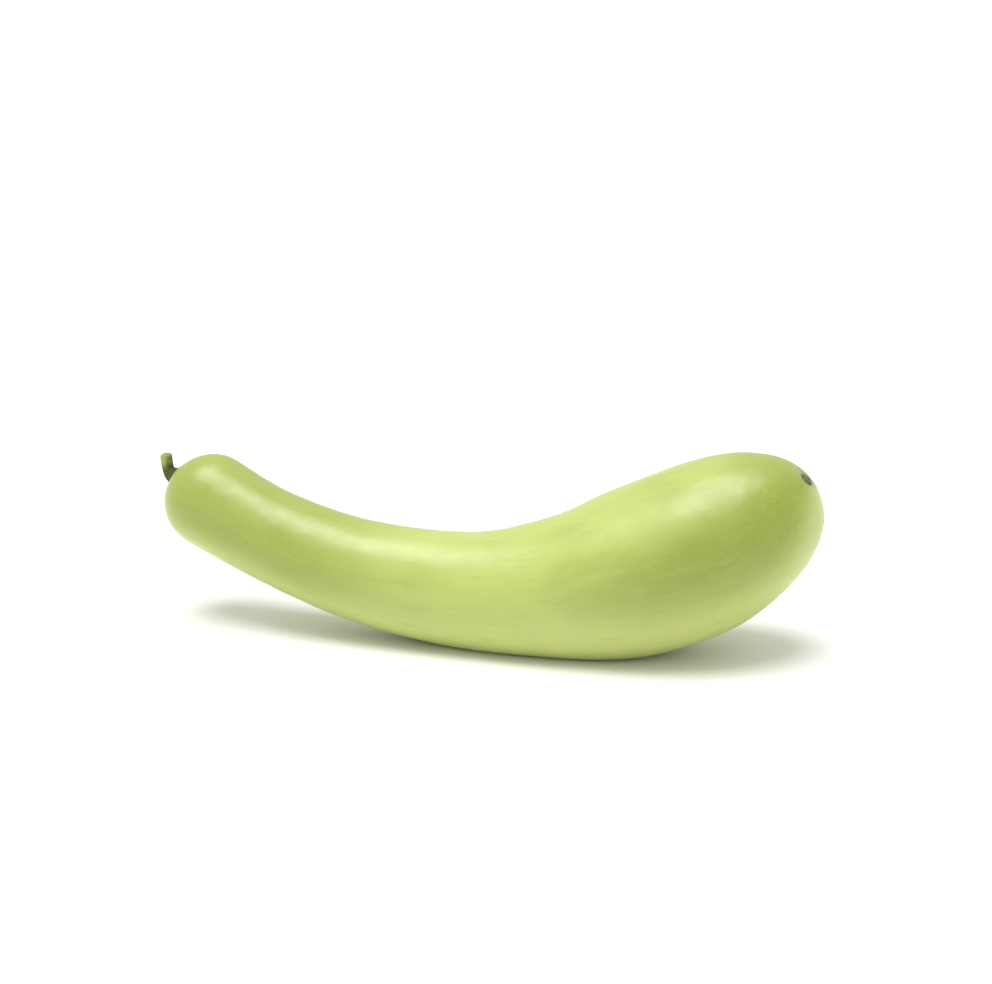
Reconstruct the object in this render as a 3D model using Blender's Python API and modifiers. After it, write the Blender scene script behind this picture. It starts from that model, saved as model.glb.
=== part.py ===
# Bottle gourd: a whole pale green fruit with a slim stalk end, a curved body and a heavy blossom end.
# It lies on its belly with both ends lifted, and its curve leans back a little.
# It has three pieces: the fruit, the cut stalk and the dry scar that the blossom left.
# Metres and degrees, +Z up. The origin is the middle of the flat that the belly rests on.
import math

import bpy
import numpy as np
from mathutils import Matrix, Vector

NAME = "bottle_gourd"

# The middle line of the fruit, from the stalk end to the blossom end
LENGTH = 0.3612
HEADING_AT = (0.0, 0.060, 0.120, 0.180, 0.240, 0.300, LENGTH)
HEADING = (-30.3, -22.3, -11.1, 0.8, 15.4, 30.0, 41.5)

# The blossom end also turns out of the plane of that curve, towards the front
SIDE_TURN = 18.0
SIDE_TURN_FROM = 0.300

# Half the thickness along it, before the two ends are rounded off
THICKNESS_AT = (0.0, 0.050, 0.100, 0.150, 0.200, 0.250, 0.300, LENGTH)
HALF_THICKNESS = (0.0263, 0.0244, 0.0258, 0.0286, 0.0336, 0.0420, 0.0493, 0.0543)
NECK_ROUNDING = 0.0269
NECK_FULLNESS = 2.0
BULB_ROUNDING = 0.123
BULB_FULLNESS = 2.15

# How it lies: the curve leans back, the blossom end comes forward, and the belly has a worn flat
LEAN = 25.0
YAW = 12.5
FLAT_DEPTH = 0.0045
FLAT_EDGE = 0.0008

# Shallow unevenness: height, length of a wave along the fruit, waves round it, and where it starts
WAVES = ((0.00045, 0.110, 2, 0.4), (0.00030, 0.060, 3, 2.1), (0.00020, 0.045, 6, 4.0))
WAVES_FADE = 0.050

# The puckered seats at the two ends: floor radius, outer radius, depth, folds round it and their height
STALK_SEAT = {"floor": 0.0055, "outer": 0.0105, "depth": 0.0018, "folds": 5, "fold_height": 0.00030}
SCAR_SEAT = {"floor": 0.0033, "outer": 0.0105, "depth": 0.0012, "folds": 7, "fold_height": 0.00005}
SEAT_RINGS = 5
GAP = 0.0003

# The folds rise over this distance from the floor's edge, and fade out over this one past the rim
FOLDS_RISE = 0.003
FOLDS_FADE = 0.006
FOLDS_REACH = 1.7

# The stalk: a stub with five ribs that leaves the seat straight and hooks upwards
STALK_FOOT_RADIUS = 0.0049
STALK_RADIUS = 0.0031
STALK_FOOT = 0.0032
STALK_BEND_RADIUS = 0.0060
STALK_SHANK = 0.0066
STALK_TIP_DIRECTION = (-0.10, 0.06, 1.0)
STALK_RIBS = 5
RIB_HEIGHT = 0.08
FOOT_FLARE = 0.0085
SHANK_SWELL = 0.0001
CUT_EDGE = 0.0018
CUT_EDGE_WEAR = 0.40

# The scar: a low corky dome with a nub, drawn in a little at its foot
SCAR_RADIUS = 0.0028
SCAR_HEIGHT = 0.0011
SCAR_DOME_RISE = 0.6
SCAR_FOOT_SHARE = 0.94
SCAR_NUB_RADIUS = 0.0009
SCAR_NUB_HEIGHT = 0.0006
SCAR_NUB_SHARES = (0.0, 0.5, 0.85, 1.0)

RINGS = 60
SEGMENTS = 48
LINE_STEPS = 1448
STALK_STEPS = 20
STALK_STEPS_CROWD = 1.3
STALK_SECTION_POINTS = 30
SCAR_SEGMENTS = 24
SCAR_DOME_STEPS = 6
MERGE_DISTANCE = 0.00001

# The seats are looked for this far from the two ends, by halving the stretch so many times
STALK_SEAT_WITHIN = 0.090
SCAR_SEAT_WITHIN = 0.072
HALVINGS = 50


def linear(code):
    # sRGB hex to the linear colour that a shader takes
    values = [int(code[i:i + 2], 16) / 255 for i in (0, 2, 4)]
    return [v / 12.92 if v < 0.04045 else ((v + 0.055) / 1.055) ** 2.4 for v in values] + [1.0]


def material(name, code, roughness):
    made = bpy.data.materials.new(name)
    made.use_nodes = True
    shader = made.node_tree.nodes["Principled BSDF"]
    shader.inputs["Base Color"].default_value = linear(code)
    shader.inputs["Roughness"].default_value = roughness
    shader.inputs["Metallic"].default_value = 0.0
    return made


def smooth_step(value):
    value = np.clip(value, 0.0, 1.0)
    return value * value * (3 - 2 * value)


def through(stations, values, x):
    # A smooth curve through the stations, with the mean slope of the neighbours at each
    stations, values = np.array(stations), np.array(values)
    slope = np.gradient(values)
    slope[1:-1] = (values[2:] - values[:-2]) / (stations[2:] - stations[:-2])
    slope[0] = (values[1] - values[0]) / (stations[1] - stations[0])
    slope[-1] = (values[-1] - values[-2]) / (stations[-1] - stations[-2])
    i = np.clip(np.searchsorted(stations, x) - 1, 0, len(stations) - 2)
    width = stations[i + 1] - stations[i]
    t = (x - stations[i]) / width
    start = values[i] * (1 + 2 * t) * (1 - t) ** 2 + slope[i] * width * t * (1 - t) ** 2
    end = values[i + 1] * t * t * (3 - 2 * t) + slope[i + 1] * width * t * t * (t - 1)
    return start + end


def half_thickness(s):
    neck = 1 - np.clip(s / NECK_ROUNDING, 0, 1)
    bulb = 1 - np.clip((LENGTH - s) / BULB_ROUNDING, 0, 1)
    neck_end = (1 - neck ** NECK_FULLNESS) ** (1 / NECK_FULLNESS)
    bulb_end = (1 - bulb ** BULB_FULLNESS) ** (1 / BULB_FULLNESS)
    return through(THICKNESS_AT, HALF_THICKNESS, s) * neck_end * bulb_end


def place_of_radius(radius, low, high):
    # Where the fruit reaches a radius, between an end (low) and a thicker place (high)
    for _ in range(HALVINGS):
        middle = (low + high) / 2
        if half_thickness(middle) < radius:
            low = middle
        else:
            high = middle
    return high


def seat_rings(seat):
    # Radii of the rings that carry a seat: its floor, its rising side and its rim
    rise = seat["outer"] - seat["floor"]
    side = [seat["floor"] + rise * k / SEAT_RINGS for k in range(1, SEAT_RINGS + 1)]
    return [seat["floor"] / 2, seat["floor"]] + side


def profile_points():
    # The turned outline: distance from the axis and distance along it, from the stalk end's middle
    scar_rings = reversed(seat_rings(SCAR_SEAT))
    stalk = [(r, place_of_radius(r, 0.0, STALK_SEAT_WITHIN)) for r in seat_rings(STALK_SEAT)]
    scar = [(r, place_of_radius(r, LENGTH, LENGTH - SCAR_SEAT_WITHIN)) for r in scar_rings]
    first, last = stalk[-1][1], scar[0][1]
    # evenly spaced angles bring the rings closer together towards both ends
    turn_0 = math.acos(1 - 2 * first / LENGTH)
    turn_1 = math.acos(1 - 2 * last / LENGTH)
    between = [(1 - math.cos(turn_0 + (turn_1 - turn_0) * k / RINGS)) * LENGTH / 2 for k in range(1, RINGS)]
    body = [(float(half_thickness(s)), s) for s in between]
    points = [(0.0, 0.0)] + stalk + body + scar + [(0.0, LENGTH)]
    return [(r, in_seats(r, s)) for r, s in points]


def in_seats(r, s):
    # Sinks the two ends to the flat floors of their seats
    if s < LENGTH / 2:
        seat, floor = STALK_SEAT, STALK_SEAT["depth"]
    else:
        seat, floor = SCAR_SEAT, LENGTH - SCAR_SEAT["depth"]
    sunk = smooth_step((seat["outer"] - r) / (seat["outer"] - seat["floor"]))
    return s + (floor - s) * sunk


def relief(s, r, angle):
    # Height of the unevenness and the folds round the seats
    fade = smooth_step(r / WAVES_FADE)
    height = 0.0
    for crest, wave, folds, start in WAVES:
        height += fade * crest * np.sin(2 * np.pi * s / wave + start) * np.cos(folds * angle + start * 2)
    for seat, near in ((STALK_SEAT, s < LENGTH / 2), (SCAR_SEAT, s > LENGTH / 2)):
        rising = smooth_step((r - seat["floor"]) / FOLDS_RISE)
        fading = smooth_step((seat["outer"] * FOLDS_REACH - r) / FOLDS_FADE)
        height = height + near * rising * fading * seat["fold_height"] * np.cos(seat["folds"] * angle)
    return height


# The middle line as fine steps that the rest is read from: its plane stands upright until it is posed
steps = np.linspace(0.0, LENGTH, LINE_STEPS + 1)
headings = np.radians(through(HEADING_AT, HEADING, steps))
side_turns = np.radians(SIDE_TURN * smooth_step((steps - SIDE_TURN_FROM) / (LENGTH - SIDE_TURN_FROM)))
in_plane = np.cos(side_turns)
directions = np.stack([np.cos(headings) * in_plane, -np.sin(side_turns), np.sin(headings) * in_plane])
line = np.cumsum(directions, axis=1) * (steps[1] - steps[0])
pose = Matrix.Rotation(math.radians(-YAW), 4, "Z") @ Matrix.Rotation(math.radians(-LEAN), 4, "X")


def middle_line(s):
    # A place on the middle line, its direction, and the square direction towards the hollow side of the curve
    heading = np.interp(s, steps, headings)
    place = Vector([np.interp(s, steps, row) for row in line])
    along = Vector([np.interp(s, steps, row) for row in directions]).normalized()
    return place, along, Vector((-math.sin(heading), 0, math.cos(heading)))


def add_object(name, data, collection):
    made = bpy.data.objects.new(name, data)
    collection.objects.link(made)
    return made


def turned(name, points, segments, collection):
    # A closed turned solid round Z: the points run down the outer side as (radius, height)
    outline = bpy.data.meshes.new(name)
    outline.from_pydata([(r, 0, z) for r, z in points], [(i, i + 1) for i in range(len(points) - 1)], [])
    made = add_object(name, outline, collection)
    screw = made.modifiers.new("Turn", "SCREW")
    screw.steps = segments
    screw.render_steps = segments
    screw.use_merge_vertices = True
    screw.merge_threshold = MERGE_DISTANCE
    return made


def apply_modifiers(made):
    bpy.context.view_layer.update()
    evaluated = made.evaluated_get(bpy.context.evaluated_depsgraph_get())
    plain = made.data
    made.data = bpy.data.meshes.new_from_object(evaluated)
    made.modifiers.clear()
    bpy.data.meshes.remove(plain)
    made.data.name = made.name


def rest_flat(z):
    # Levels what is below zero and eases into it over the edge of the flat
    eased = (z + FLAT_EDGE) ** 2 / (4 * FLAT_EDGE)
    return np.where(z < -FLAT_EDGE, 0.0, np.where(z < FLAT_EDGE, eased, z))


def make_fruit(collection):
    # Turned straight, then laid along the middle line, leant, and flattened where it rests
    fruit = turned("fruit", [(r, -s) for r, s in profile_points()], SEGMENTS, collection)
    apply_modifiers(fruit)
    placed = []
    for vertex in fruit.data.vertices:
        x, y, z = vertex.co
        r, angle = math.hypot(x, y), math.atan2(y, x)
        grown = r + float(relief(-z, r, angle)) if r > MERGE_DISTANCE else 0.0
        place, along, inner = middle_line(-z)
        side = inner.cross(along)
        placed.append(pose @ (place + inner * grown * math.cos(angle) + side * grown * math.sin(angle)))
    points = np.array([tuple(p) for p in placed])
    drop = points[:, 2].min() + FLAT_DEPTH
    resting = points[points[:, 2] - drop < -FLAT_EDGE]
    middle = (resting.min(axis=0) + resting.max(axis=0)) / 2
    moved = Vector((-middle[0], -middle[1], -drop))
    for vertex, point in zip(fruit.data.vertices, placed):
        vertex.co = point + moved
        vertex.co.z = float(rest_flat(vertex.co.z))
    fruit.data.shade_smooth()
    fruit.data.materials.append(material("rind", "b0be64", 0.38))
    return moved


def frame_at_end(s, outward, moved, towards):
    # Stands a piece on an end of the fruit: its Z looks outward and its X turns towards a direction
    place, along, _ = middle_line(s)
    z_axis = (pose.to_3x3() @ (along * outward)).normalized()
    x_axis = (towards - z_axis * towards.dot(z_axis)).normalized()
    y_axis = z_axis.cross(x_axis)
    made = Matrix((x_axis, y_axis, z_axis)).transposed().to_4x4()
    made.translation = pose @ place + moved + z_axis * GAP
    return made


def stalk_route(tip_angle):
    # Up from the foot, round the bend and along the shank, in the plane of X and Z: steps crowd at the cut
    bend = STALK_BEND_RADIUS * tip_angle
    whole = STALK_FOOT + bend + STALK_SHANK
    route = []
    for k in range(STALK_STEPS + 1):
        s = whole * (1 - (1 - k / STALK_STEPS) ** STALK_STEPS_CROWD)
        turn = min(max(s - STALK_FOOT, 0) / STALK_BEND_RADIUS, tip_angle)
        past = max(s - STALK_FOOT - bend, 0)
        x = STALK_BEND_RADIUS * (1 - math.cos(turn)) + past * math.sin(tip_angle)
        z = min(s, STALK_FOOT) + STALK_BEND_RADIUS * math.sin(turn) + past * math.cos(tip_angle)
        route.append((s, whole - s, Vector((x, 0, z))))
    return route


def stalk_radius(s, to_cut):
    # Flared at the foot, slimmest after it, a little thicker again at the cut, whose edge is worn round
    foot = (STALK_FOOT_RADIUS - STALK_RADIUS) * (1 - float(smooth_step(s / FOOT_FLARE)))
    swell = SHANK_SWELL * float(smooth_step(1 - to_cut / STALK_SHANK))
    near = max(0.0, 1 - to_cut / CUT_EDGE)
    worn = CUT_EDGE_WEAR * STALK_RADIUS * (1 - math.sqrt(1 - near * near))
    return STALK_RADIUS + foot + swell - worn


def make_stalk(collection, helpers, moved):
    towards = Vector(STALK_TIP_DIRECTION).normalized()
    stand = frame_at_end(STALK_SEAT["depth"], -1, moved, towards)
    outward = stand.to_3x3().col[2]
    route = stalk_route(outward.angle(towards))

    section = bpy.data.curves.new("stalk_section", "CURVE")
    section.dimensions = "2D"
    ring = section.splines.new("POLY")
    ring.points.add(STALK_SECTION_POINTS - 1)
    ring.use_cyclic_u = True
    for k, point in enumerate(ring.points):
        turn = -2 * math.pi * k / STALK_SECTION_POINTS
        r = 1 + RIB_HEIGHT * math.cos(STALK_RIBS * turn)
        point.co = (r * math.cos(turn), r * math.sin(turn), 0, 1)
    guide = add_object("stalk_section", section, helpers)
    guide.hide_render = True
    guide.display_type = "WIRE"

    line = bpy.data.curves.new("stalk", "CURVE")
    line.dimensions = "3D"
    line.twist_mode = "MINIMUM"
    line.bevel_mode = "OBJECT"
    line.bevel_object = guide
    line.use_fill_caps = True
    spline = line.splines.new("POLY")
    spline.points.add(len(route) - 1)
    for point, (s, to_cut, place) in zip(spline.points, route):
        point.co = (*place, 1)
        point.radius = stalk_radius(s, to_cut)
    stalk = add_object("stalk", line, collection)
    stalk.matrix_world = stand
    line.materials.append(material("stalk_skin", "7c8246", 0.65))


def make_scar(collection, moved):
    # A low dome with a nub in the middle, a closed outline from the top down to the floor
    top = SCAR_HEIGHT
    nub = [(SCAR_NUB_RADIUS * share, top + SCAR_NUB_HEIGHT * (1 - share ** 3)) for share in SCAR_NUB_SHARES]
    dome = [math.radians(90 * k / SCAR_DOME_STEPS) for k in range(1, SCAR_DOME_STEPS + 1)]
    rise = SCAR_HEIGHT * SCAR_DOME_RISE
    reach = SCAR_RADIUS - SCAR_NUB_RADIUS
    side = [(SCAR_NUB_RADIUS + reach * math.sin(a), top - rise * (1 - math.cos(a))) for a in dome]
    foot = [(SCAR_RADIUS * SCAR_FOOT_SHARE, 0.0), (0.0, 0.0)]
    scar = turned("blossom_scar", nub + side + foot, SCAR_SEGMENTS, collection)
    apply_modifiers(scar)
    scar.matrix_world = frame_at_end(LENGTH - SCAR_SEAT["depth"], 1, moved, Vector((0, 0, 1)))
    scar.data.shade_smooth()
    scar.data.materials.append(material("cork", "5f5433", 0.85))


def main():
    for old in list(bpy.data.objects):
        bpy.data.objects.remove(old)
    collection = bpy.data.collections.new(NAME)
    helpers = bpy.data.collections.new("helpers")
    for made in (collection, helpers):
        bpy.context.scene.collection.children.link(made)
    moved = make_fruit(collection)
    make_stalk(collection, helpers, moved)
    make_scar(collection, moved)


main()
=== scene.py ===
# Bottle gourd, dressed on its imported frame: waxy green rind, ribbed cut stalk and dry blossom scar.
# Metres, +Z up. The gourd lies on its belly at the origin, with its stalk end towards -X.
import math
import random

import bpy
import numpy as np
from mathutils import Matrix, Vector


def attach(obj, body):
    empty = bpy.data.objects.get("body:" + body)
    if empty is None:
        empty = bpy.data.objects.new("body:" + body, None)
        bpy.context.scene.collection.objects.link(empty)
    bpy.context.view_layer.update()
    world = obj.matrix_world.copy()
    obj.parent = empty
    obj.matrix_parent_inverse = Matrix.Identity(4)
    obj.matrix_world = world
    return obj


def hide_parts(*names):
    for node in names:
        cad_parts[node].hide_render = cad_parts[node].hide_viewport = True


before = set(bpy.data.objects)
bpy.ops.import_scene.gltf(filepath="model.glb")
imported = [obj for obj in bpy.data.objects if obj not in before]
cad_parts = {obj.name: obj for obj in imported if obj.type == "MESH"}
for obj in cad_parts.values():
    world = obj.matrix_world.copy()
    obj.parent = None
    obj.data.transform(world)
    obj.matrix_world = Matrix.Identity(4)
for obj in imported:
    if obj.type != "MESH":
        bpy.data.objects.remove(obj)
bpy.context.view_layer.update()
millimetre = 0.001
tiny = 0.000001                     # metres, to keep a division safe


# Small helpers for selecting, shaping and finishing a piece

nodeCopy = {
    "mergeWithin": 0.02,            # mm: corners closer than this become one
    "quadAngle": 60.0,              # degrees that two triangles may fold or skew and still become a quad
}


def deselectAll():
    if bpy.context.object and bpy.context.object.mode == "EDIT":
        bpy.ops.object.mode_set(mode="OBJECT")
    bpy.ops.object.select_all(action="DESELECT")


def makeActive(piece):
    deselectAll()
    piece.select_set(True)
    bpy.context.view_layer.objects.active = piece


def copyOfNode(node, name):
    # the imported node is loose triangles, so its copy is merged and brought back to quads
    piece = bpy.data.objects.new(name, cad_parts[node].data.copy())
    bpy.context.scene.collection.objects.link(piece)
    piece.data.name = name
    piece.data.materials.clear()
    makeActive(piece)
    if piece.data.has_custom_normals:
        bpy.ops.mesh.customdata_custom_splitnormals_clear()
    bpy.ops.object.mode_set(mode="EDIT")
    bpy.ops.mesh.select_all(action="SELECT")
    bpy.ops.mesh.remove_doubles(threshold=nodeCopy["mergeWithin"] * millimetre)
    angle = math.radians(nodeCopy["quadAngle"])
    bpy.ops.mesh.tris_convert_to_quads(face_threshold=angle, shape_threshold=angle)
    bpy.ops.mesh.select_all(action="DESELECT")
    bpy.ops.object.mode_set(mode="OBJECT")
    return piece


def applyModifier(piece, kind, settings):
    makeActive(piece)
    modifier = piece.modifiers.new(kind.title(), kind)
    for key, value in settings.items():
        setattr(modifier, key, value)
    bpy.ops.object.modifier_apply(modifier=modifier.name)


def refine(piece, levels):
    applyModifier(piece, "SUBSURF", {"levels": levels, "render_levels": levels})


def pointsOf(piece):
    points = np.empty(len(piece.data.vertices) * 3)
    piece.data.vertices.foreach_get("co", points)
    return points.reshape(-1, 3)


def weighPoints(piece, name, weights):
    # a vertex group that says how far each point may move
    group = piece.vertex_groups.new(name=name)
    for index, weight in enumerate(weights):
        group.add([index], float(weight), "REPLACE")


def roughen(piece, name, size, depth, group=""):
    # cloud noise of a real size in mm pushes the surface in and out along its normals
    clouds = bpy.data.textures.new(name, "CLOUDS")
    clouds.noise_scale = size * millimetre
    clouds.noise_depth = 2
    applyModifier(piece, "DISPLACE", {
        "texture": clouds, "texture_coords": "LOCAL",
        "strength": depth * millimetre, "mid_level": 0.5, "vertex_group": group,
    })


def fadeIn(distance, begins, over):
    # 0 up to a distance, then smoothly up to 1 over some more, both in mm
    share = np.clip((distance - begins * millimetre) / (over * millimetre), 0, 1)
    return share * share * (3 - 2 * share)


def footOf(node):
    # centre of the node's largest flat side, which is its foot, and the direction the node stands in
    decimals = 2                    # faces whose normals agree to this belong to one flat side
    groups = {}
    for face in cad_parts[node].data.polygons:
        key = tuple(round(value, decimals) for value in face.normal)
        groups.setdefault(key, []).append(face)
    faces = max(groups.values(), key=lambda found: sum(face.area for face in found))
    area = sum(face.area for face in faces)
    centre = sum((face.center * face.area for face in faces), Vector()) / area
    normal = sum((face.normal * face.area for face in faces), Vector()).normalized()
    return centre, -normal


def turnTo(centre, axis):
    # stands a piece modelled round Z on a place, with its Z along a direction
    return Matrix.Translation(centre) @ axis.to_track_quat("Z", "Y").to_matrix().to_4x4()


def finishPiece(piece, node, smoothAngle):
    makeActive(piece)
    bpy.ops.object.shade_smooth_by_angle(angle=math.radians(smoothAngle))
    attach(piece, "root")
    if node:
        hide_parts(node)


# The grown coordinate: where each point of a long piece would be if the piece were straight

settling = {
    "rounds": 6,                    # times that the line is moved to the middle and smoothed again
    "endWeight": 50.0,              # how firmly its two ends stay put, where the other stations have 1
}


def alongLine(points, line):
    # how far along the line each point is, the line's nearest place, and the line's length
    best = np.full(len(points), np.inf)
    along = np.zeros(len(points))
    nearest = np.zeros((len(points), 3))
    start = 0.0
    for a, b in zip(line[:-1], line[1:]):
        step = b - a
        length = np.linalg.norm(step)
        share = np.clip((points - a) @ step / length ** 2, 0, 1)
        near = a + share[:, None] * step
        away = np.linalg.norm(points - near, axis=1)
        closer = away < best
        best[closer] = away[closer]
        along[closer] = start + share[closer] * length
        nearest[closer] = near[closer]
        start += length
    return along, nearest, start


def middleLine(points, first, last, stations, degree):
    # starts as the straight line between the ends, then settles in the middle of the piece, kept smooth
    share = np.linspace(0, 1, stations)
    line = np.outer(1 - share, first) + np.outer(share, last)
    hold = np.where((share == 0) | (share == 1), settling["endWeight"], 1.0)
    for _ in range(settling["rounds"]):
        along, _, length = alongLine(points, line)
        station = np.round(along / length * (stations - 1)).astype(int)
        middles = line.copy()
        for k in range(1, stations - 1):
            if (station == k).any():
                middles[k] = points[station == k].mean(axis=0)
        smooth = [np.polyval(np.polyfit(share, middles[:, axis], degree, w=hold), share) for axis in range(3)]
        line = np.stack(smooth, axis=1)
    return line


def storeOnPoints(piece, name, kind, key, values):
    stored = piece.data.attributes.new(name, kind, "POINT")
    stored.data.foreach_set(key, values.ravel())


def rememberGrowth(piece, first, last, stations, degree):
    # stores for each point how far along the middle line it is and where it is across it,
    # and how far it looks down: 1 underneath, -1 on top
    points = pointsOf(piece)
    line = middleLine(points, np.array(first), np.array(last), stations, degree)
    along, nearest, length = alongLine(points, line)
    side = np.cross(line[-1] - line[0], line[stations // 2] - line[0])
    side /= np.linalg.norm(side)
    at = np.concatenate([[0], np.cumsum(np.linalg.norm(np.diff(line, axis=0), axis=1))])
    slopes = np.gradient(line, axis=0)
    tangent = np.stack([np.interp(along, at, slopes[:, axis]) for axis in range(3)], axis=1)
    inner = np.cross(tangent, side)
    inner /= np.linalg.norm(inner, axis=1)[:, None]
    across = points - nearest
    grown = np.stack([along, across @ side, (across * inner).sum(axis=1)], axis=1)
    storeOnPoints(piece, "grown", "FLOAT_VECTOR", "vector", grown)
    lowered = -across[:, 2] / np.maximum(np.linalg.norm(across, axis=1), tiny)
    storeOnPoints(piece, "groundSide", "FLOAT", "value", lowered)
    return length


# Materials: one function adds a node, and the rest say what each finish is made of

def linearColour(code):
    # sRGB hex to the linear colour that the shader takes
    values = [int(code[i:i + 2], 16) / 255 for i in (0, 2, 4)]
    return tuple(v / 12.92 if v < 0.04045 else ((v + 0.055) / 1.055) ** 2.4 for v in values) + (1.0,)


def coloursIn(values):
    # a piece's hex colours, by name
    return {key: linearColour(code) for key, code in values.items() if isinstance(code, str)}


def rampOf(grades):
    # a colour ramp's stops, from places with their hex colours
    return {"stops": [(place, linearColour(code)) for place, code in grades]}


def feed(tree, node, inputs):
    # an input takes a number, a colour or a socket, or a node, whose first live output then feeds it
    for key, value in inputs.items():
        if isinstance(value, bpy.types.Node):
            value = next(socket for socket in value.outputs if not socket.is_unavailable)
        if isinstance(value, bpy.types.NodeSocket):
            tree.links.new(value, node.inputs[key])
        else:
            node.inputs[key].default_value = value


def addNode(tree, kind, settings=None, *inOrder, **byName):
    # settings are the node's own values, and the inputs come in order or by name
    node = tree.nodes.new("ShaderNode" + kind)
    for key, value in (settings or {}).items():
        if key == "stops":
            ramp = node.color_ramp.elements
            while len(ramp) < len(value):
                ramp.new(1.0)
            for stop, (place, colour) in zip(ramp, value):
                stop.position, stop.color = place, colour
        else:
            setattr(node, key, value)
    feed(tree, node, dict(enumerate(inOrder)))
    feed(tree, node, {key.replace("_", " "): value for key, value in byName.items()})
    return node


def newMaterial(name):
    material = bpy.data.materials.new(name)
    material.use_nodes = True
    tree = material.node_tree
    return material, tree, tree.nodes["Principled BSDF"]


def perMetre(along, across=None):
    # a pattern's size in millimetres, along the piece and across it, as a scale for coordinates in metres
    along, across = along * millimetre, (across or along) * millimetre
    return (1 / along, 1 / across, 1 / across)


colourMix = {"data_type": "RGBA"}
eased = {"interpolation_type": "SMOOTHSTEP"}
times = {"operation": "MULTIPLY"}
plus = {"operation": "ADD"}


def washOver(tree, skin, tint, pattern, reach, within=None):
    # lays a colour over the skin: reach says where in the pattern it begins, where it is full and how
    # strong it is there, and within is a second share that keeps it to one part of the piece
    begins, full, strength = reach
    share = addNode(tree, "MapRange", eased, pattern, begins, full, 0, strength)
    if within is not None:
        share = addNode(tree, "Math", times, share, within)
    return addNode(tree, "Mix", colourMix, share, A=skin, B=tint)


waxyRind = {
    "green": "98a549",              # the neck and the blossom end
    "paleGreen": "b0bd64",          # the belly, and the pale streaks
    "deepGreen": "889733",          # painted shade on the heavy end's flanks, and the own colour of the mottling and the dark streaks
    "groundSide": "bdc772",         # paler underneath: painted light bounced up from the floor, together with the pale spot where it lay on the ground
    "fleck": "c6d08c",
    "stain": "86854a",              # round the blossom scar
    "crease": "7d8c38",             # darker green round the stalk's foot

    # places along the fruit, as shares of its length from the stalk
    "toneStops": ((0.26, "green"), (0.42, "paleGreen"), (0.80, "paleGreen"), (0.95, "green")),
    "toneWander": 0.11,             # how far the edges of the tones wander
    "heavyEnd": (0.60, 0.82),       # where it begins, and where it is full
    "stainPlace": (0.90, 0.95),
    "creasePlace": (0.06, 0.03),

    # sizes in mm: along the fruit and across it, where there are two
    "patch": (60, 24),
    "streak": (90, 3.2),
    "fleckSpacing": (3.4, 1.9),
    "pore": 0.9,
    "dimple": 7.0,

    # washes of colour: where in the pattern each begins, where it is full, and how strong it is there
    "mottle": (0.46, 0.70, 0.3),
    "paintedFlankShade": (0.85, 0.25, 0.85),            # painted shade: by how steeply the skin looks up or down, fullest on the sides
    "groundSpotAndBounce": (-0.05, 0.75, 0.85),            # painted bounce light and ground spot, by how steeply it looks down
    "darkStreak": (0.52, 0.78, 0.25),
    "paleStreak": (0.48, 0.26, 0.2),
    "fleckSpot": (0.42, 0.14, 1.0),         # by how far off the fleck's middle is
    "stainReach": (0.0095, 0.0045, 0.6),    # metres from the middle line
    "creaseReach": (0.0110, 0.0060, 0.5),

    "groundSpotAndBounceBlur": 0.25,               # how far the patches blur the edge of the paler underside
    "endBlur": 0.002,               # metres that the patches blur the edges of the stain and the crease
    "fleckChance": (0.45, 0.95),    # flecks under the first don't show, and over the second show most
    "fleckStrength": 0.12,
    "dimpleShare": (0.3, 0.7),      # lows and highs of the dimples, which have these two roughnesses
    "roughness": (0.36, 0.46),
    "dimpleRelief": (0.25, 0.5),    # strength, and depth in mm
    "poreRelief": (0.12, 0.08),
    "shader": {
        "IOR": 1.42, "Specular IOR Level": 0.5, "Coat Weight": 0.5, "Coat Roughness": 0.36,
        "Subsurface Weight": 0.18, "Subsurface Radius": (1.0, 1.2, 0.3), "Subsurface Scale": 4 * millimetre,
    },
}


def skinTone(tree, values, colour, along, patches, length):
    # the tone drifts along the fruit, and its edges wander with the patches
    wander = addNode(tree, "MapRange", None, patches, 0, 1, -values["toneWander"], values["toneWander"])
    share = addNode(tree, "MapRange", None, along, 0, length, 0, 1)
    place = addNode(tree, "Math", plus, share, wander)
    stops = [(stop, colour[name]) for stop, name in values["toneStops"]]
    tone = addNode(tree, "ValToRGB", {"stops": stops}, place)
    tone = washOver(tree, tone, colour["deepGreen"], patches, values["mottle"])

    # painted shade: the sides of the heavy end, facing neither the light above nor the floor, are darkened,
    # so its top stays paler
    ground = addNode(tree, "Attribute", {"attribute_name": "groundSide"}).outputs["Fac"]
    steep = addNode(tree, "Math", {"operation": "ABSOLUTE"}, ground)
    heavyEnd = addNode(tree, "MapRange", eased, place, *values["heavyEnd"])
    tone = washOver(tree, tone, colour["deepGreen"], steep, values["paintedFlankShade"], heavyEnd)

    # painted light bounced up from the floor, with the ground spot: the skin is paler the more it looks down
    blur = addNode(tree, "MapRange", None, patches, 0, 1, -values["groundSpotAndBounceBlur"], values["groundSpotAndBounceBlur"])
    groundSpotAndBounce = addNode(tree, "Math", plus, ground, blur)
    return washOver(tree, tone, colour["groundSide"], groundSpotAndBounce, values["groundSpotAndBounce"])


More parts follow.
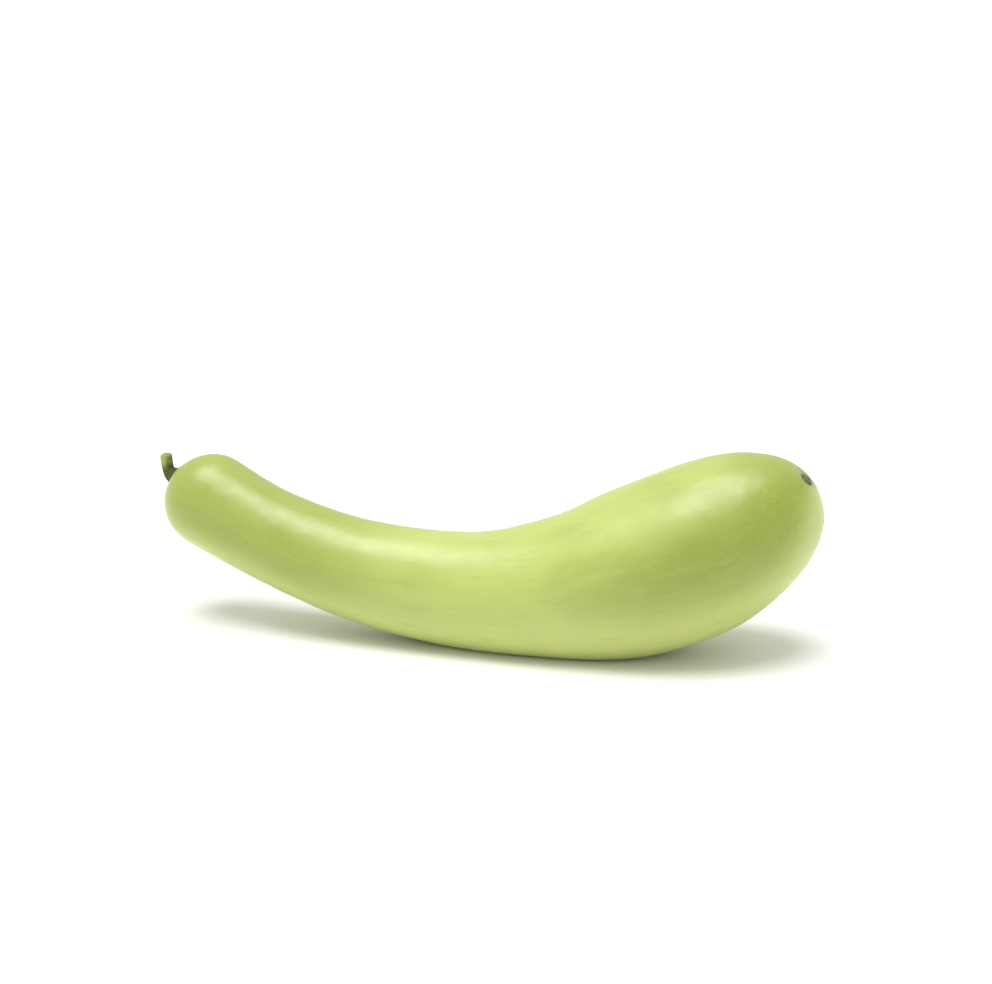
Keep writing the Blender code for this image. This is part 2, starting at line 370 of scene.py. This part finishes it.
def skinMarks(tree, values, colour, skin, grown):
    # fine streaks run from stalk to blossom, and pale flecks lie drawn out along them
    streak = addNode(tree, "Mapping", Vector=grown, Scale=perMetre(*values["streak"]))
    streaks = addNode(tree, "TexNoise", None, Vector=streak, Scale=1, Detail=3, Roughness=0.6)
    skin = washOver(tree, skin, colour["deepGreen"], streaks, values["darkStreak"])
    skin = washOver(tree, skin, colour["paleGreen"], streaks, values["paleStreak"])
    fleck = addNode(tree, "Mapping", Vector=grown, Scale=perMetre(*values["fleckSpacing"]))
    cells = addNode(tree, "TexVoronoi", None, Vector=fleck, Scale=1)
    chance = addNode(tree, "SeparateColor", None, cells.outputs["Color"]).outputs["Red"]
    strength = addNode(tree, "MapRange", None, chance, *values["fleckChance"], 0, values["fleckStrength"])
    return washOver(tree, skin, colour["fleck"], cells.outputs["Distance"], values["fleckSpot"], strength)


def skinEnds(tree, values, colour, skin, parts, patches, length):
    # a stain creeps out from the blossom scar, and the skin is darker green round the stalk's foot
    across = addNode(tree, "CombineXYZ", None, Y=parts.outputs["Y"], Z=parts.outputs["Z"])
    away = addNode(tree, "VectorMath", {"operation": "LENGTH"}, across)
    blur = addNode(tree, "MapRange", None, patches, 0, 1, -values["endBlur"], values["endBlur"])
    away = addNode(tree, "Math", plus, away, blur)
    for name in ("stain", "crease"):
        begins, full = (share * length for share in values[name + "Place"])
        atEnd = addNode(tree, "MapRange", eased, parts.outputs["X"], begins, full)
        skin = washOver(tree, skin, colour[name], away, values[name + "Reach"], atEnd)
    return skin


def makeWaxyRind(values, length):
    # bottle gourd skin: a thin wax grown over living green tissue, so its gloss is broad and soft,
    # and light sinks in a little before it comes back
    material, tree, shader = newMaterial("waxyRind")
    colour = coloursIn(values)
    grown = addNode(tree, "Attribute", {"attribute_name": "grown"}).outputs["Vector"]
    parts = addNode(tree, "SeparateXYZ", None, grown)
    patch = addNode(tree, "Mapping", Vector=grown, Scale=perMetre(*values["patch"]))
    patches = addNode(tree, "TexNoise", None, Vector=patch, Scale=1, Detail=2.5)
    skin = skinTone(tree, values, colour, parts.outputs["X"], patches, length)
    skin = skinMarks(tree, values, colour, skin, grown)
    skin = skinEnds(tree, values, colour, skin, parts, patches, length)

    place = addNode(tree, "TexCoord").outputs["Object"]
    pore = addNode(tree, "Mapping", Vector=place, Scale=perMetre(values["pore"]))
    pores = addNode(tree, "TexNoise", None, Vector=pore, Scale=1)
    dimple = addNode(tree, "Mapping", Vector=place, Scale=perMetre(values["dimple"]))
    dimples = addNode(tree, "TexNoise", None, Vector=dimple, Scale=1, Detail=1.5)
    roughness = addNode(tree, "MapRange", eased, dimples, *values["dimpleShare"], *values["roughness"])
    strength, depth = values["dimpleRelief"]
    broad = addNode(tree, "Bump", None, strength, depth * millimetre, Height=dimples)
    strength, depth = values["poreRelief"]
    fine = addNode(tree, "Bump", None, strength, depth * millimetre, Height=pores, Normal=broad)
    feed(tree, shader, {"Base Color": skin, "Roughness": roughness, "Normal": fine, **values["shader"]})
    return material


greenStalk = {
    "skin": "9ea65e",
    "rib": "b2b873",
    "shade": "323a0c",              # painted shade, over its own darker green, on the hollow side of the bend and at the foot, and the colour of some blotches
    "fibre": (6.0, 0.28),           # mm along and across, as is the next
    "blotch": (6.0, 3.0),

    # washes of colour, given as the rind's are
    "ribWash": (0.45, 0.75, 0.7),
    "blotchWash": (0.55, 0.35, 0.35),
    "hollowShadeWash": (0.0005, 0.0030, 0.55),   # painted shade on the hollow side, by metres from the middle line
    "footShadeWash": (0.0115, 0.0060, 0.92),     # painted shade at the foot, by metres up from the foot

    "relief": (0.6, 0.2),           # strength, and depth in mm
    "shader": {"Roughness": 0.6, "IOR": 1.45, "Specular IOR Level": 0.3},
}


def makeGreenStalk(values):
    # a cut fruit stalk: tough green fibre in ribs, drying to olive, so it is matt and finely streaked
    material, tree, shader = newMaterial("greenStalkFibre")
    colour = coloursIn(values)
    grown = addNode(tree, "Attribute", {"attribute_name": "grown"}).outputs["Vector"]
    parts = addNode(tree, "SeparateXYZ", None, grown)
    fibre = addNode(tree, "Mapping", Vector=grown, Scale=perMetre(*values["fibre"]))
    fibres = addNode(tree, "TexNoise", None, Vector=fibre, Scale=1, Detail=3, Roughness=0.6)
    blotch = addNode(tree, "Mapping", Vector=grown, Scale=perMetre(*values["blotch"]))
    blotches = addNode(tree, "TexNoise", None, Vector=blotch, Scale=1, Detail=2)
    skin = washOver(tree, colour["skin"], colour["rib"], fibres, values["ribWash"])
    skin = washOver(tree, skin, colour["shade"], blotches, values["blotchWash"])
    # painted shade where the stalk faces and meets the fruit, over a darker green of its own: the hollow side
    # of the bend and the foot
    skin = washOver(tree, skin, colour["shade"], parts.outputs["Z"], values["hollowShadeWash"])
    skin = washOver(tree, skin, colour["shade"], parts.outputs["X"], values["footShadeWash"])
    strength, depth = values["relief"]
    bump = addNode(tree, "Bump", None, strength, depth * millimetre, Height=fibres)
    feed(tree, shader, {"Base Color": skin, "Normal": bump, **values["shader"]})
    return material


cutFibre = {
    "grades": ((0.2, "6f6d48"), (0.55, "9c9a72")),      # from the fibre bundles to the flesh between
    "bundle": 0.7,                  # mm between the bundles
    "relief": (0.5, 0.15),          # strength, and depth in mm
    "shader": {"Roughness": 0.8, "IOR": 1.45},
}


def makeCutFibre(values):
    # the cut across the stalk: wet fibre that has dried, pale, with the ends of darker bundles in it
    material, tree, shader = newMaterial("cutFibre")
    place = addNode(tree, "TexCoord").outputs["Object"]
    bundle = addNode(tree, "Mapping", Vector=place, Scale=perMetre(values["bundle"]))
    cells = addNode(tree, "TexVoronoi", None, Vector=bundle, Scale=1)
    face = addNode(tree, "ValToRGB", rampOf(values["grades"]), cells)
    strength, depth = values["relief"]
    bump = addNode(tree, "Bump", None, strength, depth * millimetre, Height=cells)
    feed(tree, shader, {"Base Color": face, "Normal": bump, **values["shader"]})
    return material


driedCork = {
    "grades": ((0.36, "544c30"), (0.56, "777050"), (0.74, "9a9268")),   # from the cracks to the crust
    "grain": 0.6,                   # mm
    "relief": (0.8, 0.2),           # strength, and depth in mm
    "shader": {"Roughness": 0.88, "IOR": 1.45},
}
greenCallus = {
    "grades": ((0.36, "5d6a28"), (0.56, "7f8d3c"), (0.74, "9aa654")),
    "grain": 1.1,
    "relief": (0.4, 0.2),
    "shader": {"Roughness": 0.62, "IOR": 1.45},
}


def makeCork(name, values):
    # healed tissue, dull and finely cracked: brown and dry where the flower fell off, and still green
    # where the fruit has thickened round its stalk
    material, tree, shader = newMaterial(name)
    place = addNode(tree, "TexCoord").outputs["Object"]
    grain = addNode(tree, "Mapping", Vector=place, Scale=perMetre(values["grain"]))
    cracks = addNode(tree, "TexNoise", None, Vector=grain, Scale=1, Detail=4, Roughness=0.65, Distortion=0.6)
    cork = addNode(tree, "ValToRGB", rampOf(values["grades"]), cracks)
    strength, depth = values["relief"]
    bump = addNode(tree, "Bump", None, strength, depth * millimetre, Height=cracks)
    feed(tree, shader, {"Base Color": cork, "Normal": bump, **values["shader"]})
    return material


paleHair = {
    "hair": "c9cb9a",
    "shader": {"Roughness": 0.5, "IOR": 1.5},
}


def makePaleHair(values):
    # plant hair: clear hollow cells, so it shows as pale points that catch the light
    material, tree, shader = newMaterial("paleHair")
    feed(tree, shader, {"Base Color": linearColour(values["hair"]), **values["shader"]})
    return material


# The fruit's skin: a finer copy of the fruit, with small dents that leave its flat and its ends alone

rindShape = {
    "levels": 2,
    "dents": (22.0, 0.60),          # size and depth in mm, as are the next
    "ripples": (6.0, 0.10),
    "floorFade": (1.0, 12.0),       # mm above the floor where the dents begin, and over which they grow
    "endFade": (7.0, 10.0),         # the same from the stalk's foot and from the scar's
    "middleLine": (60, 5),          # its stations, and the degree of the curve through them
    "smoothAngle": 80,
}


def makeRind(values, stalkFoot, scarFoot):
    print("rind: copying the fruit and refining it")
    rind = copyOfNode("fruit", "rind")
    refine(rind, values["levels"])
    points = pointsOf(rind)
    free = fadeIn(points[:, 2], *values["floorFade"])
    for end in (stalkFoot, scarFoot):
        away = np.linalg.norm(points - np.array(end), axis=1)
        free = free * fadeIn(away, *values["endFade"])
    weighPoints(rind, "freeSkin", free)
    roughen(rind, "rindDents", *values["dents"], "freeSkin")
    roughen(rind, "rindRipples", *values["ripples"], "freeSkin")
    length = rememberGrowth(rind, stalkFoot, scarFoot, *values["middleLine"])
    rind.data.materials.append(makeWaxyRind(waxyRind, length))
    finishPiece(rind, "fruit", values["smoothAngle"])


# The stalk: a finer copy with a sunken cut face, and short hairs on its skin

stalkShape = {
    "levels": 2,
    "cutFacing": 0.93,              # how squarely up the cut's faces look, where 1 is straight up
    "cutDrop": 1.2,                 # mm below the stalk's top that the cut reaches, and the next are mm too
    "cutRim": 0.35,                 # skin left round the cut, and the width of each ring inside it
    "cutWall": 0.105,               # width of the wall that slopes down inside the rim
    "cutDepth": 0.35,
    "cutRings": 3,
    "knots": (2.2, 0.30),           # size and depth
    "knotFade": (5.0, 2.0),         # distance from the foot where they begin, and over which they grow
    "middleLine": (8, 2),           # its stations, and the degree of the curve through them
    "smoothAngle": 50,
}
hairShape = {
    "count": 260,
    "length": (0.5, 1.0),           # mm, as are the next two
    "rootRadius": 0.05,
    "sunk": 0.1,                    # how deep a hair 1 mm long stands in the skin
    "lean": 0.45,
    "sides": 3,
    "seed": 4,
    "smoothAngle": 30,
}
skinSlot, cutSlot = 0, 1            # the stalk's two materials, in order


def sinkCutFace(stalk, values):
    # the cut is the flat at the tip: its faces are joined, inset, pushed in and given the cut's material
    makeActive(stalk)
    lowest = max(vertex.co.z for vertex in stalk.data.vertices) - values["cutDrop"] * millimetre
    for face in stalk.data.polygons:
        face.select = face.normal.z > values["cutFacing"] and face.center.z > lowest
    bpy.ops.object.mode_set(mode="EDIT")
    bpy.ops.mesh.select_mode(type="FACE")
    bpy.ops.mesh.dissolve_faces()
    rim = values["cutRim"] * millimetre
    bpy.ops.mesh.inset(thickness=rim)
    stalk.active_material_index = cutSlot
    bpy.ops.object.material_slot_assign()
    bpy.ops.mesh.inset(thickness=values["cutWall"] * millimetre, depth=-values["cutDepth"] * millimetre)
    for _ in range(values["cutRings"]):
        bpy.ops.mesh.inset(thickness=rim)
    bpy.ops.object.mode_set(mode="OBJECT")
    cut = max(stalk.data.polygons, key=lambda face: len(face.vertices))
    return cut.center.copy()


def makeStalk(values, foot, materials):
    print("stalk: copying it and sinking its cut")
    stalk = copyOfNode("stalk", "cutStalk")
    for material in materials:
        stalk.data.materials.append(material)
    tip = sinkCutFace(stalk, values)
    refine(stalk, values["levels"])
    away = np.linalg.norm(pointsOf(stalk) - np.array(foot), axis=1)
    weighPoints(stalk, "freeSkin", fadeIn(away, *values["knotFade"]))
    roughen(stalk, "stalkKnots", *values["knots"], "freeSkin")
    rememberGrowth(stalk, foot, tip, *values["middleLine"])
    finishPiece(stalk, "stalk", values["smoothAngle"])
    return stalk


def makeHairs(values, stalk):
    # one hair is a cone 1 mm long, and the rest are copies that stand on the stalk's skin
    print("stalk: planting", values["count"], "hairs")
    chance = random.Random(values["seed"])
    skin = [face for face in stalk.data.polygons if face.material_index == skinSlot]
    roots = chance.choices(skin, weights=[face.area for face in skin], k=values["count"])
    deselectAll()
    bpy.ops.mesh.primitive_cone_add(vertices=values["sides"], radius2=0, depth=millimetre,
                                    radius1=values["rootRadius"] * millimetre,
                                    location=(0, 0, (0.5 - values["sunk"]) * millimetre))
    first = bpy.context.object
    first.data.transform(first.matrix_world)
    first.matrix_world = Matrix.Identity(4)
    deselectAll()
    for root in roots:
        lean = Vector([chance.uniform(-1, 1) for _ in range(3)]) * values["lean"]
        length = chance.uniform(*values["length"])
        hair = bpy.data.objects.new("hair", first.data.copy())
        place = turnTo(root.center, (root.normal + lean).normalized())
        hair.data.transform(place @ Matrix.Diagonal((1, 1, length, 1)))
        bpy.context.scene.collection.objects.link(hair)
        hair.select_set(True)
    bpy.data.objects.remove(first)
    bpy.context.view_layer.objects.active = hair
    bpy.ops.object.join()
    hair.name = "stalkHairs"
    hair.data.materials.append(makePaleHair(paleHair))
    finishPiece(hair, None, values["smoothAngle"])


# The two rings: the swollen collar that the stalk grows from, and the ragged base of the dried blossom

collarShape = {
    "name": "stalkCollar",
    "radius": 4.85,                 # mm, as are the next
    "thickness": 0.85,
    "height": 0.65,
    "swellings": (3.0, 0.45),       # size and depth
    "ragged": (1.2, 0.20),
    "segments": (72, 12),           # round the ring, and round its section
    "smoothAngle": 60,
}
scarRingShape = {
    "name": "scarRing",
    "radius": 3.05,
    "thickness": 0.55,
    "height": 0.40,
    "swellings": (2.0, 0.25),
    "ragged": (0.9, 0.30),
    "segments": (72, 12),
    "smoothAngle": 60,
}


def makeRing(values, foot, outward, material):
    print("ring:", values["name"])
    deselectAll()
    around, section = values["segments"]
    bpy.ops.mesh.primitive_torus_add(major_segments=around, minor_segments=section,
                                     major_radius=values["radius"] * millimetre,
                                     minor_radius=values["thickness"] * millimetre)
    ring = bpy.context.object
    ring.name = values["name"]
    flattened = Matrix.Diagonal((1, 1, values["height"] / values["thickness"], 1))
    ring.data.transform(turnTo(foot, outward) @ flattened)
    roughen(ring, values["name"] + "Swellings", *values["swellings"])
    roughen(ring, values["name"] + "Edge", *values["ragged"])
    ring.data.materials.append(material)
    finishPiece(ring, None, values["smoothAngle"])


# The blossom scar: a finer copy of the button, cracked as it dried

scarShape = {
    "levels": 2,
    "cracks": (0.9, 0.30),          # size and depth in mm
    "smoothAngle": 50,
}


def makeScar(values, material):
    print("blossom scar: cracking the cork")
    scar = copyOfNode("blossom_scar", "blossomScar")
    refine(scar, values["levels"])
    roughen(scar, "corkCracks", *values["cracks"])
    scar.data.materials.append(material)
    finishPiece(scar, "blossom_scar", values["smoothAngle"])


# Camera, floor and light, as the gourd was photographed

studio = {
    "aim": (-0.0236, -0.0006, 0.0833),
    "elevation": 16.0,              # degrees that the camera looks down
    "distance": 1.1774,
    "lens": 85,                     # mm, as is the sensor's width
    "sensor": 36,
    "floorSize": 24.0,
    "floorDrop": 0.1,               # mm below the gourd's flat, so that the two don't share a plane
    "floorColour": "efefed",
    "floorShader": {"Roughness": 0.7, "IOR": 1.4},
    "worldColour": "ffffff",
    "worldStrength": 0.76,
    "lightHeight": 1.5,             # only where the lamp is drawn: its light comes from afar
    "lightTilt": (5.0, 8.0),        # degrees: towards the camera, and towards the stalk end
    "lightWidth": 40.0,             # degrees that the light takes up, seen from the gourd
    "lightStrength": 2.74,
}


def makeFloor(values):
    deselectAll()
    bpy.ops.mesh.primitive_plane_add(size=values["floorSize"],
                                     location=(0, 0, -values["floorDrop"] * millimetre))
    floor = bpy.context.object
    floor.name = "studioFloor"
    # painted board: matt white, so it shows the shadows and no reflection
    material, tree, shader = newMaterial("paintedFloor")
    feed(tree, shader, {"Base Color": linearColour(values["floorColour"]), **values["floorShader"]})
    floor.data.materials.append(material)


def makeLight(values):
    world = bpy.data.worlds.new("studioWorld")
    bpy.context.scene.world = world
    world.use_nodes = True
    background = world.node_tree.nodes["Background"]
    background.inputs["Color"].default_value = linearColour(values["worldColour"])
    background.inputs["Strength"].default_value = values["worldStrength"]
    overhead = bpy.data.lights.new("overheadLight", "SUN")
    overhead.angle = math.radians(values["lightWidth"])
    overhead.energy = values["lightStrength"]
    lamp = bpy.data.objects.new("overheadLight", overhead)
    bpy.context.scene.collection.objects.link(lamp)
    lamp.location = (0, 0, values["lightHeight"])
    toCamera, toStalk = values["lightTilt"]
    lamp.rotation_euler = (math.radians(toCamera), -math.radians(toStalk), 0)


def makeCamera(values):
    elevation = math.radians(values["elevation"])
    forward = Vector((0, math.cos(elevation), -math.sin(elevation)))
    lens = bpy.data.cameras.new("camera")
    lens.lens = values["lens"]
    lens.sensor_width = values["sensor"]
    camera = bpy.data.objects.new("camera", lens)
    bpy.context.scene.collection.objects.link(camera)
    camera.location = Vector(values["aim"]) - forward * values["distance"]
    camera.rotation_euler = (math.pi / 2 - elevation, 0, 0)
    bpy.context.scene.camera = camera


def makeStudio(values):
    print("studio: floor, light and camera")
    makeFloor(values)
    makeLight(values)
    makeCamera(values)
    bpy.context.scene.view_settings.view_transform = "Standard"


def buildAll():
    stalkFoot, stalkOutward = footOf("stalk")
    scarFoot, scarOutward = footOf("blossom_scar")
    cork, callus = makeCork("driedCork", driedCork), makeCork("greenCallus", greenCallus)
    makeRind(rindShape, stalkFoot, scarFoot)
    stalk = makeStalk(stalkShape, stalkFoot, (makeGreenStalk(greenStalk), makeCutFibre(cutFibre)))
    makeHairs(hairShape, stalk)
    makeRing(collarShape, stalkFoot, stalkOutward, callus)
    makeScar(scarShape, cork)
    makeRing(scarRingShape, scarFoot, scarOutward, cork)
    makeStudio(studio)


buildAll()
